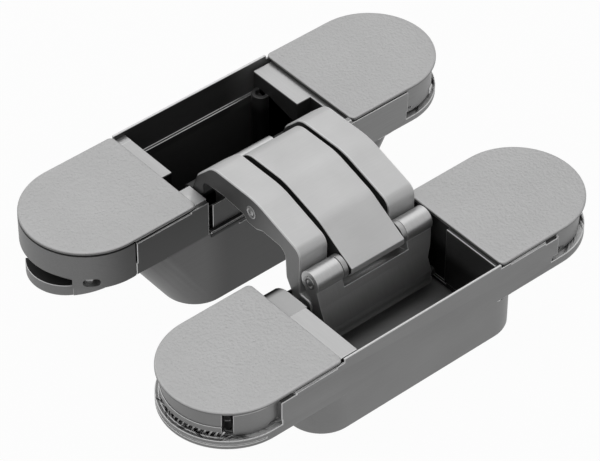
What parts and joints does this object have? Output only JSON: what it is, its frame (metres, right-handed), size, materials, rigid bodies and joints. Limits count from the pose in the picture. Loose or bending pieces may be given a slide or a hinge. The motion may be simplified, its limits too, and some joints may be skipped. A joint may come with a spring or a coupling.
{
  "type": "concealed door hinge",
  "caption": "Concealed door hinge, fully open: round-ended bodies joined by crossed arms that fold into their pockets when the door closes.",
  "frame": {"origin": "middle of the frame body's screw holes, on the underside of its flange", "axes": "+X along both bodies, +Y from the door body to the frame body, +Z out of the faces"},
  "size_m": [0.1154, 0.0841, 0.0388],
  "materials": {
    "cover": "satin chrome coat with a fine pebbled grain",
    "housing": "satin chromed casting",
    "carrier": "satin chromed casting, darker inside",
    "arm": "brushed satin",
    "link": "brushed satin",
    "pin": "turned and polished"
  },
  "bodies": {
    "frame_body": {"frame_housing": "housing", "frame_cover_left": "cover", "frame_cover_right": "cover"},
    "frame_carrier": {"frame_carrier": "carrier", "frame_arm_pin": "pin", "frame_spacer_left": "pin", "frame_spacer_right": "pin"},
    "middle": {"middle_arm": "arm"},
    "outer": {"outer_arm_left": "arm", "outer_arm_right": "arm", "centre_pin": "pin"},
    "frame_link": {"frame_link": "link", "frame_knuckle_pin": "pin", "frame_link_pin": "pin"},
    "door_link": {"door_link": "link", "door_knuckle_pin": "pin", "door_link_pin": "pin", "knuckle_washers": "pin"},
    "door_carrier": {"door_carrier": "carrier", "door_arm_pin": "pin", "door_spacer_left": "pin", "door_spacer_middle": "pin"},
    "door_body": {"door_housing": "housing", "door_cover_left": "cover", "door_cover_right": "cover"}
  },
  "joints": [
    {"name": "frame_height", "type": "slide", "parent": "frame_body", "child": "frame_carrier", "axis": [1, 0, 0], "range_m": [-0.0005, 0.002]},
    {"name": "frame_arm_pivot", "type": "hinge", "parent": "frame_carrier", "child": "middle", "pos_m": [-0.002, -0.0113, 0.0014], "axis": [-1, 0, 0], "range_deg": [0, 112.2]},
    {"name": "centre_pivot", "type": "hinge", "parent": "middle", "child": "outer", "pos_m": [-0.002, -0.0277, 0.0147], "axis": [1, 0, 0], "range_deg": [0, 32.07]},
    {"name": "door_arm_pivot", "type": "hinge", "parent": "outer", "child": "door_carrier", "pos_m": [-0.002, -0.0448, 0.00035], "axis": [-1, 0, 0], "range_deg": [0, 99.8]},
    {"name": "door_knuckle", "type": "hinge", "parent": "middle", "child": "door_link", "pos_m": [-0.002, -0.04635, 0.008], "axis": [1, 0, 0], "range_deg": [0, 40.27]},
    {"name": "frame_knuckle", "type": "hinge", "parent": "outer", "child": "frame_link", "pos_m": [-0.002, -0.0073, 0.0068], "axis": [-1, 0, 0], "range_deg": [0, 32.71]},
    {"name": "door_height", "type": "slide", "parent": "door_carrier", "child": "door_body", "axis": [1, 0, 0], "range_m": [-0.0005, 0.002]}
  ],
  "couplings": [
    {"joint": "centre_pivot", "follows": "frame_arm_pivot", "ratio": 0.2857},
    {"joint": "door_arm_pivot", "follows": "frame_arm_pivot", "ratio": 0.8894},
    {"joint": "door_knuckle", "follows": "frame_arm_pivot", "ratio": 0.3588},
    {"joint": "frame_knuckle", "follows": "frame_arm_pivot", "ratio": 0.2914}
  ]
}
